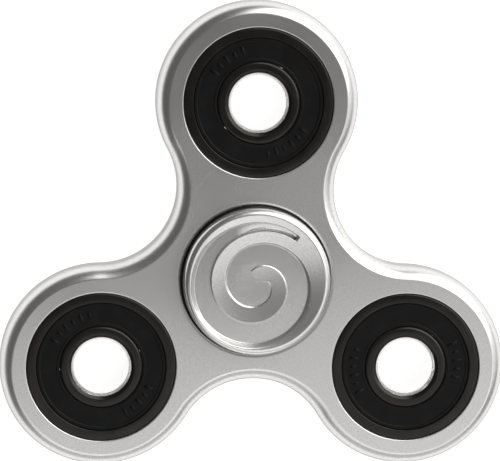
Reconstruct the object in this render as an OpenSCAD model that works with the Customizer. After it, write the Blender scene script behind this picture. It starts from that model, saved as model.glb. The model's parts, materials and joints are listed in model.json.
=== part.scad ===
// Three-armed fidget spinner: a moulded body that carries four 608-size ball bearings.
// The centre bearing turns on two finger caps, and the three arm bearings are the weights.
// Frame: +Z along the spin axis, +Y through arm 1, origin on the spin axis at mid thickness.

/* [Body] */
// Distance from the spin axis to each arm's bearing
arm_r = 26; // [25.5:0.1:28]
// Radius of the round end of each arm
lobe_r = 14.85; // [14:0.05:16]
// Radius of the hollow curve between two arms
waist_r = 11.4; // [10.5:0.1:12.5]
// Thickness of the body
body_t = 7.2; // [7:0.1:8]
// Radius of the rounding along the body's rim
rim_round = 1.8; // [1:0.1:2.4]
// Width of the bevel around the centre hole
centre_bevel = 0.6; // [0.2:0.05:0.8]
// Width of the bevel around each arm's hole
arm_bevel = 0.15; // [0.1:0.05:0.4]

/* [Caps] */
// Diameter of a finger cap
cap_d = 21.6; // [20:0.1:21.6]
// Height of a cap's rim above the body's face
cap_rise = 2.75; // [2:0.05:3.5]
// Gap between a cap's underside and the body's face
cap_gap = 0.5; // [0.3:0.05:0.8]
// Depth of the hollow in a cap's face
dish_depth = 1; // [0.5:0.05:1.2]
// Outer radius of the flat ring on top of a cap's rim
crest_r = 9.95; // [9.6:0.05:10]
// Width of the flat ring on top of a cap's rim
crest_w = 0.45; // [0.3:0.05:0.8]

/* [Bearings] */
// Outer diameter of a bearing
bearing_d = 22; // [22:22]
// Bore of a bearing
bore_d = 8; // [8:8]
// Width of a bearing
bearing_w = 7; // [7:7]
// Diameter of a ball
ball_d = 3.969; // [3.9:0.001:3.99]
// Balls in a bearing
ball_count = 7; // [6:1:7]
// Diameter of the circle that the balls' centres lie on
pitch_d = 15; // [14.9:0.05:15.1]

/* [Fits] */
// Gap between a pressed-in piece and its seat
press_gap = 0.01; // [0.005:0.005:0.02]
// Gap between a ball and each race, and between a seal's lip and the inner ring
ball_gap = 0.05; // [0.03:0.01:0.08]

/* [Hidden] */
BEARINGS = ["centre", "arm_1", "arm_2", "arm_3"];
RING_PIECES = ["outer_ring", "inner_ring", "cage", "front_seal", "back_seal"];
BALLS = [for (ball = [1 : ball_count]) str("ball_", ball)];

$fn = 96;
cut = 1;

// Body outline. Each hollow curve's centre lies midway between two arms.
half_t = body_t / 2;
arm_angles = [90, 210, 330];
reach = lobe_r + waist_r;
waist_centre_r = (arm_r + sqrt(arm_r * arm_r - 4 * (arm_r * arm_r - reach * reach))) / 2;
waist_turn = 60;
waist_offset = [waist_centre_r * cos(waist_turn) - arm_r, waist_centre_r * sin(waist_turn)];
lobe_half_angle = atan2(waist_offset[1], waist_offset[0]);
waist_half_angle = lobe_half_angle - waist_turn;
lobe_step = 6;
waist_steps = 16;
rim_steps = 4;
rim_over = 0.3;
seam_turn = 11;
seat_r = bearing_d / 2 + press_gap;

// Caps
cap_r = cap_d / 2;
cap_top = half_t + cap_rise;
cap_under = half_t + cap_gap;
crest_in_r = crest_r - crest_w;
dish_floor = cap_top - dish_depth;
dish_sphere_r = (crest_in_r * crest_in_r + dish_depth * dish_depth) / (2 * dish_depth);
cap_edge = 0.3;
rim_bevel = [0.2, 0.45];
boss_r = 5.6;
cap_web = 1.1;
stem_r = bore_d / 2 - press_gap;
stem_bore_r = 2.4;
stem_bore_top = dish_floor - cap_web;
stem_end = 0.15;
stem_lead = 0.35;
dish_steps = 16;

// Bearings
half_w = bearing_w / 2;
ball_r = ball_d / 2;
pitch_r = pitch_d / 2;
race_r = 2.06;
ring_round = 0.3;
bore_round = 0.4;
land_round = 0.15;
inner_land_r = 6.05;
outer_land_r = 8.8;
seal_seat = 2.7;
groove_r = 9.75;
groove_top = 3.1;
lip_r = 9.5;
lip_drop = 0.12;
mouth_r = 9.62;

// Seals
seal_t = 0.6;
seal_slack = 0.02;
seal_under = seal_seat + seal_slack;
seal_top = seal_under + seal_t;
seal_bead_r = groove_r - seal_slack;
seal_in_r = inner_land_r + ball_gap;
seal_rim_gap = 0.14;
seal_rim_r = lip_r - seal_rim_gap;
seal_edge = 0.1;
seal_bead_w = 0.26;
seal_step = 0.08;

// Cages
cage_in_r = 6.8;
cage_out_r = 8.2;
cage_low = -2.5;
cage_high = 0.85;
pocket_r = ball_r + ball_gap;

// Turns a shape drawn for +Z over to the -Z side.
module turned_over() {
    rotate([180, 0, 0]) children();
}

// Where each bearing stands.
module at_bearing(name) {
    arm = search([name], BEARINGS)[0];
    if (arm == 0) {
        children();
    } else {
        rotate([0, 0, arm_angles[arm - 1]]) translate([arm_r, 0, 0]) children();
    }
}

function on_circle(centre, r, a) = [centre[0] + r * cos(a), centre[1] + r * sin(a)];
function polar(r, a) = on_circle([0, 0], r, a);

// Inset and height along the upper half of the rounded rim. The last chord runs on past the body's face.
function rim_chord(i) = let (a = 90 * i / rim_steps)
    [rim_round * (1 - cos(a)), half_t - rim_round * (1 - sin(a))];
rim_last = rim_chord(rim_steps - 1);
rim_slope = (rim_round - rim_last[0]) / (half_t - rim_last[1]);
rim_half = concat(
    [for (i = [0 : rim_steps - 1]) rim_chord(i)],
    [[rim_round + rim_over * rim_slope, half_t + rim_over]]
);
rim_points = concat(
    [for (i = [rim_steps : -1 : 0]) [rim_half[i][0], -rim_half[i][1]]],
    rim_half
);

// Angles of an arm end's points from the arm's direction. Whole steps put points where the body is widest.
lobe_whole = lobe_step * floor(lobe_half_angle / lobe_step - 0.25);
lobe_turns = concat(
    [-lobe_half_angle],
    [for (a = [-lobe_whole : lobe_step : lobe_whole]) a],
    [lobe_half_angle]
);

// The body's outline, drawn in by `inset`: three round arm ends with a hollow curve after each.
function lobe_arc(arm, inset) = [for (turn = lobe_turns)
    on_circle(polar(arm_r, arm), lobe_r - inset, arm + turn)];
function waist_arc(arm, inset) = [for (i = [1 : waist_steps - 1])
    on_circle(polar(waist_centre_r, arm + waist_turn), waist_r + inset,
        arm + waist_turn + 180 - waist_half_angle * (2 * i / waist_steps - 1))];
function outline(inset) = [for (arm = arm_angles) each concat(lobe_arc(arm, inset), waist_arc(arm, inset))];

// Plate with the body's outline and rounded rim, cut flat at both faces.
module rounded_plate() {
    count = len(outline(0));
    last = len(rim_points) - 1;
    intersection() {
        polyhedron(
            points = [for (layer = rim_points) for (p = outline(layer[0])) [p[0], p[1], layer[1]]],
            faces = concat(
                [[for (j = [0 : count - 1]) j]],
                [for (k = [0 : last - 1]) for (j = [0 : count - 1]) let (next = (j + 1) % count)
                    [k * count + j, (k + 1) * count + j, (k + 1) * count + next, k * count + next]],
                [[for (j = [count - 1 : -1 : 0]) last * count + j]]
            )
        );
        cube([4 * arm_r, 4 * arm_r, body_t], center = true);
    }
}

// A through hole with a 45 degree bevel at both mouths. Its seam is turned off the body's lines of symmetry.
module bevelled_hole(r, bevel) {
    rotate([0, 0, seam_turn])
        rotate_extrude()
            polygon([
                [0, -half_t - cut],
                [r + bevel + cut, -half_t - cut],
                [r, -half_t + bevel],
                [r, half_t - bevel],
                [r + bevel + cut, half_t + cut],
                [0, half_t + cut]
            ]);
}

module spinner_body() {
    color("silver")
        difference() {
            rounded_plate();
            bevelled_hole(seat_r, centre_bevel);
            for (arm = arm_angles)
                rotate([0, 0, arm])
                    translate([arm_r, 0, 0])
                        bevelled_hole(seat_r, arm_bevel);
        }
}

// Swirl groove in a cap's face, as fractions of the cap's radius against the angle in degrees.
swirl_start = 47;
swirl_inner_end = 480;
swirl_outer_end = 680;
swirl_step = 12;
function rising(a, from, span) = max(0, min(1, (a - from) / span));
function swirl_inner(a) = 0.882 - 0.001377 * a - 0.056 * sin(a);
function swirl_width(a) = 0.057 + 0.2 * rising(a, swirl_start, 165)
    + 0.05 * rising(a, 210, 180) - 0.045 * rising(a, 480, 90);
function swirl_outer(a) = swirl_inner(a) + swirl_width(a);

module swirl_groove() {
    translate([0, 0, dish_floor])
        linear_extrude(height = dish_depth + cut)
            polygon(concat(
                [for (a = [swirl_start : swirl_step : swirl_outer_end]) polar(cap_r * swirl_outer(a), a)],
                [for (a = [swirl_inner_end : -swirl_step : swirl_start]) polar(cap_r * swirl_inner(a), a)]
            ));
}

// Half profile of a cap: stem, boss, disc with a flat-topped rim, and a dished face.
function cap_profile() = concat(
    [
        [0, stem_bore_top],
        [stem_bore_r, stem_bore_top],
        [stem_bore_r, stem_end],
        [stem_r - stem_lead, stem_end],
        [stem_r, stem_end + stem_lead],
        [stem_r, half_w],
        [boss_r, half_w],
        [boss_r, cap_under],
        [cap_r - cap_edge, cap_under],
        [cap_r, cap_under + cap_edge],
        [cap_r, cap_top - cap_edge - rim_bevel[1]],
        [cap_r - rim_bevel[0], cap_top - cap_edge],
        [crest_r, cap_top],
        [crest_in_r, cap_top]
    ],
    [for (i = [dish_steps - 1 : -1 : 0]) let (r = crest_in_r * i / dish_steps)
        [r, dish_floor + dish_sphere_r - sqrt(dish_sphere_r * dish_sphere_r - r * r)]]
);

module cap() {
    color("lightgray")
        difference() {
            rotate_extrude()
                polygon(cap_profile());
            swirl_groove();
        }
}

module front_cap() {
    cap();
}

module back_cap() {
    turned_over() cap();
}

// Ring-shaped cutter that leaves a race for the balls.
module race(centre_r) {
    rotate_extrude()
        translate([centre_r, 0])
            circle(r = race_r);
}

module outer_ring() {
    outer_r = bearing_d / 2;
    quarter = [
        [outer_r, half_w - ring_round],
        [outer_r - ring_round, half_w],
        [mouth_r, half_w],
        [lip_r, half_w - lip_drop],
        [groove_r, groove_top],
        [groove_r, seal_seat],
        [outer_land_r, seal_seat]
    ];
    color([0.1, 0.095, 0.09])
        difference() {
            rotate_extrude()
                polygon(concat(quarter, [for (i = [len(quarter) - 1 : -1 : 0]) [quarter[i][0], -quarter[i][1]]]));
            race(pitch_r + ball_r + ball_gap - race_r);
        }
}

module inner_ring() {
    bore_r = bore_d / 2;
    quarter = [
        [bore_r, half_w - bore_round],
        [bore_r + bore_round, half_w],
        [inner_land_r - land_round, half_w],
        [inner_land_r, half_w - land_round]
    ];
    color([0.09, 0.085, 0.08])
        difference() {
            rotate_extrude()
                polygon(concat(quarter, [for (i = [len(quarter) - 1 : -1 : 0]) [quarter[i][0], -quarter[i][1]]]));
            race(pitch_r - ball_r - ball_gap + race_r);
        }
}

// Crown cage: one ring with a pocket for each ball, open on its front side.
module cage() {
    color([0.15, 0.15, 0.16])
        difference() {
            rotate_extrude()
                translate([cage_in_r, cage_low])
                    square([cage_out_r - cage_in_r, cage_high - cage_low]);
            for (i = [1 : ball_count])
                rotate([0, 0, i * 360 / ball_count])
                    translate([pitch_r, 0, 0])
                        sphere(r = pocket_r);
        }
}

// Rubber seal: a snap-in bead, a flat face and a thin lip beside the inner ring.
module seal() {
    color([0.06, 0.06, 0.06])
        rotate_extrude()
            polygon([
                [seal_in_r, seal_under],
                [seal_bead_r, seal_under],
                [seal_bead_r, groove_top - seal_slack],
                [seal_rim_r + seal_edge / 2, seal_top - seal_edge / 2],
                [seal_rim_r, seal_top],
                [seal_rim_r - seal_bead_w, seal_top],
                [seal_rim_r - seal_bead_w - seal_edge, seal_top - seal_step],
                [seal_in_r + seal_bead_w + 2 * seal_edge, seal_top - seal_step],
                [seal_in_r + seal_bead_w + seal_edge, seal_top],
                [seal_in_r + seal_edge, seal_top],
                [seal_in_r, seal_top - seal_edge]
            ]);
}

module front_seal() {
    seal();
}

module back_seal() {
    turned_over() seal();
}

module ball(number) {
    color("lightsteelblue")
        rotate([0, 0, number * 360 / ball_count])
            translate([pitch_r, 0, 0])
                sphere(r = ball_r);
}

spinner_body();
front_cap();
back_cap();
for (bearing = BEARINGS) {
    at_bearing(bearing) outer_ring();
    at_bearing(bearing) inner_ring();
    at_bearing(bearing) cage();
    at_bearing(bearing) front_seal();
    at_bearing(bearing) back_seal();
    for (number = [1 : ball_count])
        at_bearing(bearing) ball(number);
}
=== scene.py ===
"""Looks of a three-armed fidget spinner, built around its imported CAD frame.

Frame: metres, +Z along the spin axis towards the front cap, +Y through arm 1, origin at the spinner's centre.
"""
import json
import math

import bpy
from mathutils import Matrix, Vector
from mathutils.geometry import delaunay_2d_cdt


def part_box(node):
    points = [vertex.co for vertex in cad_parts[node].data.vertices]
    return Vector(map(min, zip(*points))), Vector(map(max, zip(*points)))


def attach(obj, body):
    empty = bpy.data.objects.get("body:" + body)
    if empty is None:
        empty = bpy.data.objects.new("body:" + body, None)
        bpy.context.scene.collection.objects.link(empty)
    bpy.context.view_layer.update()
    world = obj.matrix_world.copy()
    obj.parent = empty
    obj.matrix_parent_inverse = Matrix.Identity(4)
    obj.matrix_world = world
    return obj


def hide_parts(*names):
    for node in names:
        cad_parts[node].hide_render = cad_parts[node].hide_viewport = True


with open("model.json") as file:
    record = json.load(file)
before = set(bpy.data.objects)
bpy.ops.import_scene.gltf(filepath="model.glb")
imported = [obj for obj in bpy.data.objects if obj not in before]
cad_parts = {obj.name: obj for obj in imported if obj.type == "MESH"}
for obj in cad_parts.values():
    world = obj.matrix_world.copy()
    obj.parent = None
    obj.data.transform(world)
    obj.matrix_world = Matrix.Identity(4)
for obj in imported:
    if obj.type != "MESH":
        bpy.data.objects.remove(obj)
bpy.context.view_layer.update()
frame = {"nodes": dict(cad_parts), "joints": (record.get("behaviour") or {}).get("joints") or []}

MM = 0.001

# ---------------------------------------------------------------- sizes, from the frame
BEARINGS = ("centre", "arm_1", "arm_2", "arm_3")
CENTRES = {"centre": Vector((0, 0, 0))}
for joint in frame["joints"]:
    if joint["name"].endswith("_turn"):
        CENTRES[joint["name"][:-len("_turn")]] = Vector(joint["pos_m"])

BODY_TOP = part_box("spinner_body")[1]
HALF_T = BODY_TOP.z
ARM_R = CENTRES["arm_1"].y
LOBE_R = BODY_TOP.y - ARM_R
WAIST_R = 11.4 * MM
RIM_ROUND = 1.8 * MM
SEAT_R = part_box("centre_outer_ring")[1].x
RIM_DEPTH = 2.5 * MM
RIM_CREASE = 20.0
FACE_RIM = 0.12 * MM
CENTRE_BEVEL = 0.6 * MM
CENTRE_BEVEL_DEPTH = 0.25 * MM
ARM_BEVEL = 0.15 * MM

CAP_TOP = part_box("front_cap")[1].z
CAP_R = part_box("front_cap")[1].x
CAP_UNDER = HALF_T + 0.5 * MM
CREST_R = 9.9 * MM
CREST_DROP = 1.0 * MM
DISH_FLOOR = CAP_TOP - 1.0 * MM
DISH_UNDER = DISH_FLOOR - 1.1 * MM
BOSS_R = 5.6 * MM
STEM_BORE_R = 2.4 * MM
STEM_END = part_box("front_cap")[0].z

HALF_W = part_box("centre_outer_ring")[1].z
LAND_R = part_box("centre_inner_ring")[1].x
BORE_R = 4.0 * MM
BORE_CHAMFER = 0.4 * MM
STEM_R = BORE_R - 0.01 * MM
BALLS = 7
PITCH_R = 7.5 * MM
RACE_R = 2.06 * MM
RACE_HALF_ANGLE = 44
RACE_STEP = 11
RUNNING_GAP = 0.05 * MM
BALL_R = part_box(f"centre_ball_{BALLS}")[1].z
SEAL_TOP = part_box("centre_front_seal")[1].z
SEAL_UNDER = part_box("centre_front_seal")[0].z
SEAL_OUT_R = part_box("centre_front_seal")[1].x


# ---------------------------------------------------------------- mesh helpers
LATHE_STEPS = 160
UV_CLIMB = 0.7


def mesh_object(name, vertices, faces, smooth=True):
    mesh = bpy.data.meshes.new(name)
    mesh.from_pydata([tuple(v) for v in vertices], [], faces)
    mesh.validate()
    mesh.polygons.foreach_set("use_smooth", [smooth] * len(mesh.polygons))
    mesh.update()
    obj = bpy.data.objects.new(name, mesh)
    bpy.context.scene.collection.objects.link(obj)
    return obj


def weighted_normals(obj):
    """Keeps flats flat where they meet a small rounding."""
    modifier = obj.modifiers.new("weighted_normals", "WEIGHTED_NORMAL")
    modifier.weight = 100
    modifier.mode = "FACE_AREA"


def rounded(corners, steps=4):
    """A closed (r, z) profile from corners (r, z, fillet radius)."""
    profile = []
    count = len(corners)
    for i, (r, z, fillet) in enumerate(corners):
        here = Vector((r, z))
        if fillet <= 0:
            profile.append((r, z))
            continue
        before = (Vector(corners[i - 1][:2]) - here).normalized()
        after = (Vector(corners[(i + 1) % count][:2]) - here).normalized()
        half = before.angle(after) / 2
        centre = here + (before + after).normalized() * (fillet / math.sin(half))
        reach = fillet / math.tan(half)
        start = here + before * reach - centre
        end = here + after * reach - centre
        sweep = start.angle_signed(end)
        for k in range(steps + 1):
            turn = Matrix.Rotation(-sweep * k / steps, 2)
            p = centre + turn @ start
            profile.append((p.x, p.y))
    return profile


def lathe(name, profile, centre, flip=False):
    """Closed ring: a closed (r, z) profile turned about an axis through centre. flip mirrors it to -Z."""
    side = -1 if flip else 1
    vertices, faces = [], []
    count = len(profile)
    for i in range(LATHE_STEPS):
        a = 2 * math.pi * i / LATHE_STEPS
        vertices += [centre + Vector((r * math.cos(a), r * math.sin(a), side * z)) for r, z in profile]
    for i in range(LATHE_STEPS):
        here, there = i * count, (i + 1) % LATHE_STEPS * count
        for k in range(count):
            nxt = (k + 1) % count
            quad = (here + k, there + k, there + nxt, here + nxt)
            faces.append(quad if flip else quad[::-1])
    obj = mesh_object(name, vertices, faces)
    turned_uv(obj, centre)
    weighted_normals(obj)
    return obj


def turned_uv(obj, centre):
    """UV for turned marks: u runs round the piece's own axis, v away from it and up it, in metres."""
    layer = obj.data.uv_layers.new(name="turned")
    for loop in obj.data.loops:
        p = obj.data.vertices[loop.vertex_index].co - centre
        turn = math.atan2(p.y, p.x) / (2 * math.pi) + 0.5
        layer.data[loop.index].uv = (turn, math.hypot(p.x, p.y) + p.z * UV_CLIMB)


# ---------------------------------------------------------------- material helpers
class Material:
    """A node material with a Principled shader and short ways to add what these finishes need."""

    def __init__(self, name):
        self.data = bpy.data.materials.new(name)
        self.data.use_nodes = True
        self.nodes = self.data.node_tree.nodes
        self.links = self.data.node_tree.links
        self.shader = self.nodes["Principled BSDF"]

    def set(self, **sockets):
        for name, value in sockets.items():
            self.shader.inputs[name.replace("_", " ")].default_value = value

    def node(self, kind, **inputs):
        node = self.nodes.new(kind)
        for name, value in inputs.items():
            self.plug(node.inputs[name.replace("_", " ")], value)
        return node

    def plug(self, socket, value):
        if isinstance(value, bpy.types.NodeSocket):
            self.links.new(value, socket)
        else:
            socket.default_value = value

    def place(self):
        return self.node("ShaderNodeTexCoord").outputs["Object"]

    def turned(self, across, along):
        """Coordinates that run round the piece (along, slow) and away from its axis (across, quick)."""
        uv = self.node("ShaderNodeTexCoord").outputs["UV"]
        mapping = self.node("ShaderNodeMapping", Vector=uv, Scale=(along, across, 1.0))
        return mapping.outputs["Vector"]

    def noise(self, vector, scale, detail=2.0, roughness=0.5):
        return self.node("ShaderNodeTexNoise", Vector=vector, Scale=scale, Detail=detail,
                         Roughness=roughness).outputs["Fac"]

    def remap(self, value, low, high, to_low, to_high):
        node = self.node("ShaderNodeMapRange", Value=value)
        for name, number in (("From Min", low), ("From Max", high), ("To Min", to_low), ("To Max", to_high)):
            node.inputs[name].default_value = number
        return node.outputs["Result"]

    def math(self, operation, a, b):
        node = self.nodes.new("ShaderNodeMath")
        node.operation = operation
        self.plug(node.inputs[0], a)
        self.plug(node.inputs[1], b)
        return node.outputs["Value"]

    def mix(self, factor, a, b):
        node = self.nodes.new("ShaderNodeMix")
        node.data_type = "RGBA"
        self.plug(node.inputs["Factor"], factor)
        self.plug(node.inputs[6], a)
        self.plug(node.inputs[7], b)
        return node.outputs[2]

    def bump(self, height, strength, distance, normal=None):
        node = self.node("ShaderNodeBump", Height=height, Strength=strength, Distance=distance)
        if normal is not None:
            self.plug(node.inputs["Normal"], normal)
        return node.outputs["Normal"]

    def finish(self, colour=None, roughness=None, normal=None):
        for name, value in (("Base Color", colour), ("Roughness", roughness), ("Normal", normal)):
            if value is not None:
                self.links.new(value, self.shader.inputs[name])
        return self.data


def grey(value, warmth=0.0):
    return (value * (1 + warmth), value, value * (1 - warmth), 1.0)


def silver_paint(name, tone):
    """Satin metallic paint: a fine flake, faint orange peel, and slow patches of tone."""
    m = Material(name)
    # The grey specular tint dulls grazing reflections: painted shade on the edges and side walls, standing in
    # for the shadowed floor beside the body.
    m.set(Metallic=0.9, IOR=1.5, Coat_Weight=0.1, Coat_Roughness=0.15, Specular_Tint=grey(0.4))
    flake = m.noise(m.place(), 4200.0, 1.0)
    patches = m.noise(m.place(), 60.0, 1.0)
    peel = m.noise(m.place(), 2600.0, 1.0)
    sparkle = m.remap(flake, 0.3, 0.7, 0.0, 1.0)
    tint = m.mix(sparkle, grey(tone * 0.91, 0.014), grey(tone * 1.05, 0.010))
    colour = m.mix(m.remap(patches, 0.35, 0.65, 0.0, 0.25), tint, grey(tone * 0.9, 0.015))
    rough = m.remap(patches, 0.3, 0.7, 0.23, 0.30)
    relief = m.bump(flake, 0.04, 0.02 * MM)
    relief = m.bump(peel, 0.03, 0.03 * MM, relief)
    return m.finish(colour, rough, relief)


def blackened_steel(name):
    """Bearing steel with a brown-black oxide skin over fine turning marks."""
    m = Material(name)
    m.set(Metallic=0.5, IOR=1.5, Specular_IOR_Level=0.35)
    grinding = m.noise(m.turned(26000.0, 7.0), 1.0, 3.0, 0.65)
    blotch = m.noise(m.place(), 260.0, 3.0)
    tone = m.math("ADD", m.math("MULTIPLY", grinding, 0.5), blotch)
    colour = m.mix(m.remap(tone, 0.5, 1.0, 0.0, 1.0), grey(0.013, 0.12), grey(0.022, 0.12))
    rough = m.remap(m.math("ADD", grinding, blotch), 0.6, 1.4, 0.18, 0.30)
    return m.finish(colour, rough, m.bump(grinding, 0.10, 0.008 * MM))


def painted_glare_steel(name):
    """Steel of a bearing's bore and its chamfers, with fine marks round it; its near-white colour is painted
    glare, standing in for the light from below that floods the hole.
    """
    m = Material(name)
    m.set(Metallic=1.0)
    marks = m.noise(m.turned(22000.0, 5.0), 1.0, 3.0, 0.6)
    film = m.noise(m.place(), 500.0, 3.0)
    # Near-white colour: painted glare on the bore, not the steel's own tone.
    colour = m.mix(film, grey(0.90, 0.01), grey(0.97, 0.01))
    rough = m.remap(marks, 0.3, 0.7, 0.14, 0.24)
    return m.finish(colour, rough, m.bump(marks, 0.06, 0.004 * MM))


def seal_rubber(name):
    """Moulded nitrile rubber: near black, satin, with a fine eroded texture and faint dust."""
    m = Material(name)
    m.set(IOR=1.5, Specular_IOR_Level=0.11)
    erosion = m.noise(m.place(), 6500.0, 3.0, 0.6)
    dust = m.noise(m.place(), 420.0, 4.0, 0.6)
    colour = m.mix(m.remap(dust, 0.45, 0.75, 0.0, 0.5), grey(0.004, -0.03), grey(0.009, -0.02))
    rough = m.remap(m.math("ADD", erosion, dust), 0.6, 1.4, 0.38, 0.56)
    return m.finish(colour, rough, m.bump(erosion, 0.22, 0.012 * MM))


def cage_nylon(name):
    """Glass-filled nylon: dark, dull, slightly mottled."""
    m = Material(name)
    m.set(IOR=1.53)
    mottle = m.noise(m.place(), 1800.0, 4.0)
    colour = m.mix(mottle, grey(0.02), grey(0.05, 0.02))
    rough = m.remap(mottle, 0.3, 0.7, 0.5, 0.7)
    return m.finish(colour, rough, m.bump(mottle, 0.2, 0.02 * MM))


def ball_steel(name):
    """Lapped chrome steel with hairline running marks and a film of grease."""
    m = Material(name)
    m.set(Metallic=1.0)
    film = m.noise(m.place(), 900.0, 4.0)
    marks = m.noise(m.place(), 12000.0, 1.0)
    colour = m.mix(film, grey(0.52), grey(0.66, 0.01))
    rough = m.remap(film, 0.3, 0.7, 0.05, 0.16)
    return m.finish(colour, rough, m.bump(marks, 0.05, 0.003 * MM))


FLOOR_GLOW = 0.84


def floor_paper(name):
    """Plain pale acrylic sheet, softly lit from below as on a product photographer's table."""
    m = Material(name)
    grain = m.noise(m.place(), 900.0, 4.0)
    colour = m.mix(grain, grey(0.58), grey(0.62))
    m.set(Specular_IOR_Level=0.2, Emission_Color=grey(1.0), Emission_Strength=FLOOR_GLOW)
    return m.finish(colour, m.remap(grain, 0.3, 0.7, 0.75, 0.9), m.bump(grain, 0.05, 0.02 * MM))


BODY_PAINT = silver_paint("body_paint", 0.66)
CAP_PAINT = silver_paint("cap_paint", 0.68)
RING_STEEL = blackened_steel("ring_steel")
BORE_PAINTED_GLARE = painted_glare_steel("bore_painted_glare")
SEAL_RUBBER = seal_rubber("seal_rubber")
CAGE_NYLON = cage_nylon("cage")
BALL_STEEL = ball_steel("ball_steel")


def dress(obj, material, body, node):
    """Gives a piece its finish and fixes it to the frame in place of one CAD node."""
    if not obj.data.materials:
        obj.data.materials.append(material)
    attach(obj, body)
    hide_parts(node)


# ---------------------------------------------------------------- body
HALF_ARM_ANGLE = math.radians(60)
LOBE_STEPS = 96
WAIST_STEPS = 44
ROUND_STEPS = 12
HOLE_STEPS = 160
TRIANGLES_INSIDE = 1
ARM_ANGLES = [math.atan2(CENTRES[b].y, CENTRES[b].x) for b in BEARINGS[1:]]
REACH = LOBE_R + WAIST_R
WAIST_CENTRE_R = (ARM_R + math.sqrt(ARM_R ** 2 - 4 * (ARM_R ** 2 - REACH ** 2))) / 2
LOBE_HALF_ANGLE = math.atan2(WAIST_CENTRE_R * math.sin(HALF_ARM_ANGLE),
                             WAIST_CENTRE_R * math.cos(HALF_ARM_ANGLE) - ARM_R)
WAIST_HALF_ANGLE = LOBE_HALF_ANGLE - HALF_ARM_ANGLE


def on_circle(centre, r, a):
    return Vector((centre[0] + r * math.cos(a), centre[1] + r * math.sin(a)))


def body_outline(inset):
    """The body's outline drawn in by inset: three round arm ends with a hollow curve after each."""
    points = []
    for arm in ARM_ANGLES:
        lobe = on_circle((0, 0), ARM_R, arm)
        waist = on_circle((0, 0), WAIST_CENTRE_R, arm + HALF_ARM_ANGLE)
        points += [on_circle(lobe, LOBE_R - inset, arm + LOBE_HALF_ANGLE * (2 * i / LOBE_STEPS - 1))
                   for i in range(LOBE_STEPS + 1)]
        points += [on_circle(waist, WAIST_R + inset,
                             arm + HALF_ARM_ANGLE + math.pi - WAIST_HALF_ANGLE * (2 * i / WAIST_STEPS - 1))
                   for i in range(1, WAIST_STEPS)]
    return points


def hole_outline(centre, r):
    return [on_circle(centre, r, 2 * math.pi * i / HOLE_STEPS) for i in range(HOLE_STEPS)]


def edge_round(width, depth, crease):
    """(inset, drop) pairs down a rounded edge, from the face, at the crease's angle, to the wall."""
    first = math.radians(crease)
    turns = [first + (math.pi / 2 - first) * i / ROUND_STEPS for i in range(ROUND_STEPS + 1)]
    return [(width * (1 - math.sin(a)) / (1 - math.sin(first)),
             depth * (math.cos(first) - math.cos(a)) / math.cos(first)) for a in turns]


def wall(vertices, faces, ring_at, levels, inward):
    """Joins rings of points into a closed wall. ring_at(offset) gives a ring, levels are (offset, z)."""
    first = len(vertices)
    count = len(ring_at(0))
    for offset, z in levels:
        vertices += [Vector((p.x, p.y, z)) for p in ring_at(offset)]
    for k in range(len(levels) - 1):
        for i in range(count):
            a, b = first + k * count + i, first + k * count + (i + 1) % count
            quad = (a, b, b + count, a + count)
            faces.append(quad[::-1] if inward else quad)
    return first, first + (len(levels) - 1) * count, count


def edge_levels(width, depth, crease):
    """(offset, z) down a wall with a rounded edge at both faces, and a narrow flat rim on each face."""
    top = [(width + FACE_RIM, HALF_T)]
    top += [(inset, HALF_T - drop) for inset, drop in edge_round(width, depth, crease)]
    return top + [(offset, -z) for offset, z in reversed(top)]


def body():
    """Outer wall and four hole walls, closed at both faces by triangles between their loops."""
    vertices, faces, loops = [], [], []
    levels = edge_levels(RIM_ROUND, RIM_DEPTH, RIM_CREASE)[::-1]
    loops.append(wall(vertices, faces, body_outline, levels, False))
    for name in BEARINGS:
        centre = CENTRES[name]
        edge = (CENTRE_BEVEL, CENTRE_BEVEL_DEPTH) if name == "centre" else (ARM_BEVEL, ARM_BEVEL)
        levels = edge_levels(*edge, 0.0)[::-1]
        loops.append(wall(vertices, faces, lambda o, c=centre: hole_outline(c, SEAT_R + o), levels, True))
    for which, flip in ((0, True), (1, False)):
        ids = [loop[which] + i for loop in loops for i in range(loop[2])]
        owner = [number for number, loop in enumerate(loops) for _ in range(loop[2])]
        edges, start = [], 0
        for loop in loops:
            edges += [(start + i, start + (i + 1) % loop[2]) for i in range(loop[2])]
            start += loop[2]
        flat = [Vector((vertices[i].x, vertices[i].y)) for i in ids]
        _, _, triangles, sources, _, _ = delaunay_2d_cdt(flat, edges, [], TRIANGLES_INSIDE, 1e-9)
        for triangle in triangles:
            corners = [sources[i][0] for i in triangle]
            met = {owner[i] for i in corners}
            over_hole = len(met) == 1 and met != {0}
            if over_hole:
                continue
            face = [ids[i] for i in corners]
            faces.append(tuple(face[::-1] if flip else face))
    obj = mesh_object("spinner_body_moulding", vertices, faces)
    weighted_normals(obj)
    dress(obj, BODY_PAINT, "spinner", "spinner_body")
    return obj


# ---------------------------------------------------------------- finger caps
SWIRL_START = 49.0
SWIRL_INNER_END = 480.0
SWIRL_OUTER_END = 740.0
SLOT_DEPTH = 0.6 * MM
GROOVE_EDGE = 0.12 * MM
END_REACH = 0.5
CAP_STEPS = 360
DISH_RINGS = 180
RIM_STEPS = 12


def rising(a, start, span):
    return max(0.0, min(1.0, (a - start) / span))


def swirl_inner(a):
    """Radius of the groove's inner edge at an angle in degrees, which counts on past a whole turn."""
    return (0.882 - 0.001377 * a - 0.056 * math.sin(math.radians(a))) * CAP_R


def swirl_outer(a):
    """Radius of the groove's outer edge: narrow at the start, wider along the swirl."""
    width = (0.057 + 0.2 * rising(a, SWIRL_START, 165) + 0.05 * rising(a, 210, 180)
             - 0.045 * rising(a, SWIRL_INNER_END, 90))
    return swirl_inner(a) + width * CAP_R


def outer_slope(a):
    """Slope of the groove's outer wall: steep at the start, then gentle."""
    return 8.0 - 6.3 * rising(a, 55, 90)


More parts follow.
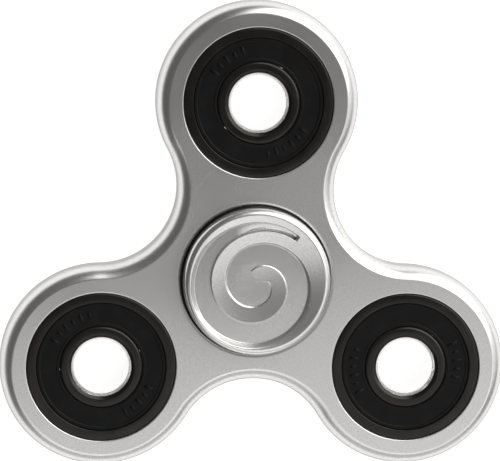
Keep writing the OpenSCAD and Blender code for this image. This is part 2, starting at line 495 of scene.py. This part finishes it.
def inner_slope(a):
    """Slope of the groove's inner wall: steep, and fading out near the cap's middle."""
    return 8.0 - 4.5 * rising(a, 60, 60) - 2.8 * rising(a, 385, 90)


def floor_drop(a):
    """How far the groove's floor sinks beside its inner wall: a slot at the start that runs out."""
    return SLOT_DEPTH * (1 - rising(a, 50, 65))


def across(r, inner, outer):
    """How far a point lies across the groove: 0 at its outer edge, 1 at its inner edge."""
    return rising(-r, -outer, outer - inner)


def groove_section(r, a, inner, outer):
    """Heights at a point across the groove: up the nearer wall, and down the sunken floor."""
    walls = max(outer_slope(a) * (r - outer), inner_slope(a) * (inner - r), 0.0)
    return walls, floor_drop(a) * across(r, inner, outer) ** 2


def groove_rise(r, turn):
    """Height that the groove leaves at a point of the cap's face, above the level of the dish's middle."""
    nearest = 1.0
    for a in (turn, turn + 360.0):
        if SWIRL_START <= a <= SWIRL_OUTER_END:
            inner = swirl_inner(a) if a < SWIRL_INNER_END else 0.0
            walls, drop = groove_section(r, a, inner, swirl_outer(a))
            nearest = min(nearest, walls - drop)
    before_start = math.radians((SWIRL_START - turn) % 360.0)
    if before_start < END_REACH:
        walls, drop = groove_section(r, SWIRL_START, swirl_inner(SWIRL_START), swirl_outer(SWIRL_START))
        end = math.hypot(walls, outer_slope(SWIRL_START) * before_start * r)
        nearest = min(nearest, end - drop)
    return nearest


def soft_min(a, b, width):
    """The lower of two heights, with the crease between them rounded over a width."""
    h = max(0.0, min(1.0, 0.5 + 0.5 * (b - a) / width))
    return b * (1 - h) + a * h - width * h * (1 - h)


def dish_height(r, turn):
    """Height of the cap's face: a shallow hollow with a swirl groove cut into it."""
    hollow = DISH_FLOOR + (CAP_TOP - DISH_FLOOR) * (r / CREST_R) ** 2
    groove = DISH_FLOOR + groove_rise(r, turn)
    return soft_min(hollow, groove, GROOVE_EDGE)


def cap_outside():
    """(r, z) from the dish's edge round the cap's rim, underside, boss and stem to the stem's blind end."""
    turns = [math.pi / 2 * i / RIM_STEPS for i in range(RIM_STEPS + 1)]
    rim = [(CREST_R + (CAP_R - CREST_R) * math.sin(a), CAP_TOP - CREST_DROP * (1 - math.cos(a)), 0.0)
           for a in turns]
    corners = rim + [
        (CAP_R, CAP_UNDER, 0.3 * MM),
        (BOSS_R, CAP_UNDER, 0.1 * MM),
        (BOSS_R, HALF_W, 0.1 * MM),
        (STEM_R, HALF_W, 0.0),
        (STEM_R, STEM_END, 0.3 * MM),
        (STEM_BORE_R, STEM_END, 0.15 * MM),
        (STEM_BORE_R, DISH_UNDER, 0.3 * MM),
        (0.0, DISH_UNDER, 0.0),
    ]
    return rounded(corners, 5)[:-1]


def cap(node, flip):
    """Columns of points from the dish's middle to the stem's blind end, all the way round."""
    side = -1 if flip else 1
    rings = [CREST_R * (i / DISH_RINGS) for i in range(1, DISH_RINGS)]
    outside = cap_outside()
    vertices, faces = [], []
    for i in range(CAP_STEPS):
        turn = 360.0 * i / CAP_STEPS
        a = math.radians(turn)
        direction = Vector((math.cos(a), math.sin(a), 0))
        column = [(r, dish_height(r, turn)) for r in rings] + outside
        vertices += [Vector((direction.x * r, side * direction.y * r, side * z)) for r, z in column]
    count = len(rings) + len(outside)
    top, bottom = len(vertices), len(vertices) + 1
    vertices += [Vector((0, 0, side * DISH_FLOOR)), Vector((0, 0, side * DISH_UNDER))]
    for i in range(CAP_STEPS):
        here, there = i * count, (i + 1) % CAP_STEPS * count
        faces.append((top, here, there))
        faces += [(here + k, here + k + 1, there + k + 1, there + k) for k in range(count - 1)]
        faces.append((here + count - 1, bottom, there + count - 1))
    obj = mesh_object(node + "_moulding", vertices, faces)
    dress(obj, CAP_PAINT, "hub", node)
    return obj


# ---------------------------------------------------------------- bearings
def race(bottom, side):
    """(r, z) round the groove that the balls run in. side is 1 where it rises outwards, -1 inwards."""
    turns = [math.radians(a) for a in range(-RACE_HALF_ANGLE, RACE_HALF_ANGLE + 1, RACE_STEP)]
    return [(bottom + side * RACE_R * (1 - math.cos(a)), RACE_R * math.sin(a), 0.0) for a in turns]


def outer_ring(name):
    mouth, lip, groove, land = 9.62 * MM, 9.5 * MM, 9.75 * MM, 8.8 * MM
    top, seat = HALF_W, 2.7 * MM
    race_bottom = PITCH_R + BALL_R + RUNNING_GAP
    upper = [
        (land, 1.55 * MM, 0.1 * MM),
        (land, seat, 0.08 * MM),
        (groove, seat, 0.0),
        (groove, 3.1 * MM, 0.0),
        (lip, top - 0.12 * MM, 0.04 * MM),
        (mouth, top, 0.05 * MM),
        (SEAT_R, top, 0.3 * MM),
    ]
    lower = [(r, -z, fillet) for r, z, fillet in reversed(upper)]
    return lathe(f"{name}_outer_ring_ground", rounded(upper + lower + race(race_bottom, -1)), CENTRES[name])


def inner_ring(name):
    top = HALF_W
    race_bottom = PITCH_R - BALL_R - RUNNING_GAP
    upper = [
        (LAND_R, 1.55 * MM, 0.08 * MM),
        (LAND_R, top, 0.4 * MM),
        (BORE_R + 0.85 * MM, top, 0.35 * MM),
        (BORE_R + BORE_CHAMFER, top - 0.32 * MM, 0.15 * MM),
        (BORE_R, top - 0.8 * MM, 0.3 * MM),
    ]
    lower = [(r, -z, fillet) for r, z, fillet in reversed(upper)]
    obj = lathe(f"{name}_inner_ring_ground", rounded(upper + lower + race(race_bottom, 1)), CENTRES[name])
    obj.data.materials.append(RING_STEEL)
    obj.data.materials.append(BORE_PAINTED_GLARE)
    # Faces in the bore take the near-white painted glare, the rest the dark ring steel.
    for face in obj.data.polygons:
        at = face.center - CENTRES[name]
        in_bore = at.xy.length < BORE_R + BORE_CHAMFER
        face.material_index = 1 if in_bore else 0
    return obj


MARK_R = 7.75 * MM
MARK_W = 0.42 * MM
MARK_BASE = SEAL_TOP - 0.12 * MM
MARK_TOP = SEAL_TOP - 0.015 * MM
MARK_FLARE = 0.05 * MM
MARK_PITCH = math.radians(9.5)
# Lengths of the bars in a bearing's two groups of raised marks.
MARK_LENGTHS = ((1.5 * MM, 0.9 * MM, 1.5 * MM, 0.9 * MM, 1.5 * MM),
                (0.9 * MM, 1.4 * MM, 0.9 * MM, 1.4 * MM, 0.9 * MM, 1.4 * MM))
# Where each bearing's two groups sit, in degrees round its face.
MARK_ANGLES = {"centre": (90, 270), "arm_1": (127, -55), "arm_2": (-43, 127), "arm_3": (7, 185)}


def mark(centre, turn, length, side):
    """One raised bar on a seal's face: vertices and faces of a low block with sloping sides."""
    radial = Vector((math.cos(turn), math.sin(turn), 0))
    across_bar = Vector((-radial.y, radial.x, 0))
    vertices = []
    for z, grow in ((MARK_BASE, MARK_FLARE), (MARK_TOP, 0.0)):
        for u, v in ((-1, -1), (1, -1), (1, 1), (-1, 1)):
            p = centre + radial * (MARK_R + u * (length / 2 + grow)) + across_bar * v * (MARK_W / 2 + grow)
            vertices.append(Vector((p.x, p.y, side * z)))
    faces = [(3, 2, 1, 0), (4, 5, 6, 7)] + [(i, (i + 1) % 4, (i + 1) % 4 + 4, i + 4) for i in range(4)]
    return vertices, [f[::-1] for f in faces] if side < 0 else faces


def seal(name, node, flip):
    """A rubber seal: a thin lip beside the inner ring, a face a step lower, and a bead at its rim."""
    r_in, r_out = LAND_R + RUNNING_GAP, 9.42 * MM
    face = SEAL_TOP - 0.07 * MM
    corners = [
        (r_in, SEAL_UNDER, 0.03 * MM),
        (r_in, SEAL_TOP - 0.05 * MM, 0.05 * MM),
        (r_in + 0.32 * MM, SEAL_TOP - 0.02 * MM, 0.08 * MM),
        (r_in + 0.45 * MM, face, 0.08 * MM),
        (r_out - 0.50 * MM, face, 0.08 * MM),
        (r_out - 0.38 * MM, SEAL_TOP, 0.08 * MM),
        (r_out - 0.05 * MM, SEAL_TOP, 0.08 * MM),
        (SEAL_OUT_R, 3.07 * MM, 0.03 * MM),
        (SEAL_OUT_R, SEAL_UNDER, 0.03 * MM),
    ]
    return lathe(f"{node}_moulding", rounded(corners[::-1]), CENTRES[name], flip)


def add_marks(obj, name, flip):
    """Joins two groups of plain raised bars to a seal, one shell each."""
    vertices, faces = [], []
    for middle, lengths in zip(MARK_ANGLES[name], MARK_LENGTHS):
        for i, length in enumerate(lengths):
            turn = math.radians(middle) + (i - (len(lengths) - 1) / 2) * MARK_PITCH
            block, sides = mark(CENTRES[name], turn, length, -1 if flip else 1)
            start = len(vertices)
            vertices += block
            faces += [tuple(start + i for i in f) for f in sides]
    marks = mesh_object("marks", vertices, faces, smooth=False)
    turned_uv(marks, CENTRES[name])
    with bpy.context.temp_override(active_object=obj, selected_editable_objects=[obj, marks]):
        bpy.ops.object.join()


def bearing(name):
    inner_body = "hub" if name == "centre" else name + "_inner"
    dress(outer_ring(name), RING_STEEL, "spinner", name + "_outer_ring")
    dress(inner_ring(name), RING_STEEL, inner_body, name + "_inner_ring")
    for node, flip in ((name + "_front_seal", False), (name + "_back_seal", True)):
        obj = seal(name, node, flip)
        add_marks(obj, name, flip)
        dress(obj, SEAL_RUBBER, "spinner", node)
    inner_material(name + "_cage", CAGE_NYLON)
    for number in range(1, BALLS + 1):
        inner_material(f"{name}_ball_{number}", BALL_STEEL)


def inner_material(node, material):
    """Finishes a CAD node that stays as it is."""
    slots = frame["nodes"][node].data.materials
    slots.clear()
    slots.append(material)


# ---------------------------------------------------------------- stage, light and camera
def floor():
    """A wide flat sheet under the back cap."""
    reach, z = 0.9, -CAP_TOP
    corners = [(-reach, -reach, z), (reach, -reach, z), (reach, reach, z), (-reach, reach, z)]
    obj = mesh_object("floor", [Vector(c) for c in corners], [(0, 1, 2, 3)], smooth=False)
    obj.data.materials.append(floor_paper("floor_paper"))


def softbox(name, towards, distance, size, power):
    """An oblong soft light that looks at the spinner from a direction."""
    light = bpy.data.lights.new(name, "AREA")
    light.shape = "RECTANGLE"
    light.size, light.size_y = size
    light.energy = power
    obj = bpy.data.objects.new(name, light)
    bpy.context.scene.collection.objects.link(obj)
    direction = Vector(towards).normalized()
    obj.location = direction * distance
    obj.rotation_mode = "QUATERNION"
    obj.rotation_quaternion = direction.to_track_quat("Z", "Y")


class WorldGlow:
    """Builds the strength of the studio's surroundings from soft steps along the directions seen."""

    def __init__(self):
        world = bpy.data.worlds.new("studio")
        bpy.context.scene.world = world
        world.use_nodes = True
        self.nodes, self.links = world.node_tree.nodes, world.node_tree.links
        self.background = self.nodes["Background"]
        self.direction = self.nodes.new("ShaderNodeTexCoord").outputs["Generated"]
        self.total = None

    def add(self, towards, start, end, strength):
        """Adds a glow that grows as the direction seen comes round towards a given one."""
        dot = self.nodes.new("ShaderNodeVectorMath")
        dot.operation = "DOT_PRODUCT"
        self.links.new(self.direction, dot.inputs[0])
        dot.inputs[1].default_value = Vector(towards).normalized()
        step = self.nodes.new("ShaderNodeMapRange")
        step.interpolation_type = "SMOOTHSTEP"
        for name, value in (("From Min", start), ("From Max", end), ("To Min", 0.0), ("To Max", strength)):
            step.inputs[name].default_value = value
        self.links.new(dot.outputs["Value"], step.inputs["Value"])
        if self.total is None:
            self.total = step.outputs["Result"]
            return
        both = self.nodes.new("ShaderNodeMath")
        self.links.new(self.total, both.inputs[0])
        self.links.new(step.outputs["Result"], both.inputs[1])
        self.total = both.outputs["Value"]

    def finish(self):
        self.links.new(self.total, self.background.inputs["Strength"])
        self.background.inputs["Color"].default_value = (1.0, 0.995, 0.985, 1.0)


def studio_world():
    """Grey overhead, paler below, with soft glows towards the spinner's lower arms, upper right and right."""
    world = WorldGlow()
    world.add((0, 0, 1), -1.0, -0.99, 0.07)
    world.add((0, 0, -1), -0.25, 0.02, 0.35)
    world.add((0.10, -0.95, 0.25), 0.45, 0.95, 0.55)
    world.add((0.55, 0.60, 0.58), 0.80, 0.88, 3.0)
    world.add((0.80, 0.15, 0.60), 0.78, 0.95, 0.9)
    world.finish()


CAMERA_TILT = (7.82, 5.43, -0.98)
CAMERA_DISTANCE = 0.414
CAMERA_SHIFT = (0.855 * MM, -7.238 * MM)
LENS = 203.3


def camera():
    """Looks almost straight down, from a little above and to the left of the spinner's centre."""
    rx, ry, rz = (math.radians(a) for a in CAMERA_TILT)
    turn = Matrix.Rotation(rx, 3, "X") @ Matrix.Rotation(ry, 3, "Y") @ Matrix.Rotation(rz, 3, "Z")
    shift = Vector((*CAMERA_SHIFT, -CAMERA_DISTANCE))
    data = bpy.data.cameras.new("camera")
    data.lens = LENS
    data.sensor_width = 36.0
    data.clip_start, data.clip_end = 0.01, 10.0
    obj = bpy.data.objects.new("camera", data)
    bpy.context.scene.collection.objects.link(obj)
    to_world = turn.transposed()
    obj.matrix_world = Matrix.Translation(-(to_world @ shift) + Vector((0, 0, HALF_W))) @ to_world.to_4x4()
    bpy.context.scene.camera = obj


def studio():
    """Floor, surroundings, and a near card that lights the lower arms' faces more than the top one's."""
    floor()
    studio_world()
    softbox("near_card", (0.10, -0.62, 0.95), 0.24, (0.40, 0.20), 0.21)
    bpy.context.scene.view_settings.view_transform = "Standard"


body()
cap("front_cap", False)
cap("back_cap", True)
for bearing_name in BEARINGS:
    bearing(bearing_name)
camera()
studio()
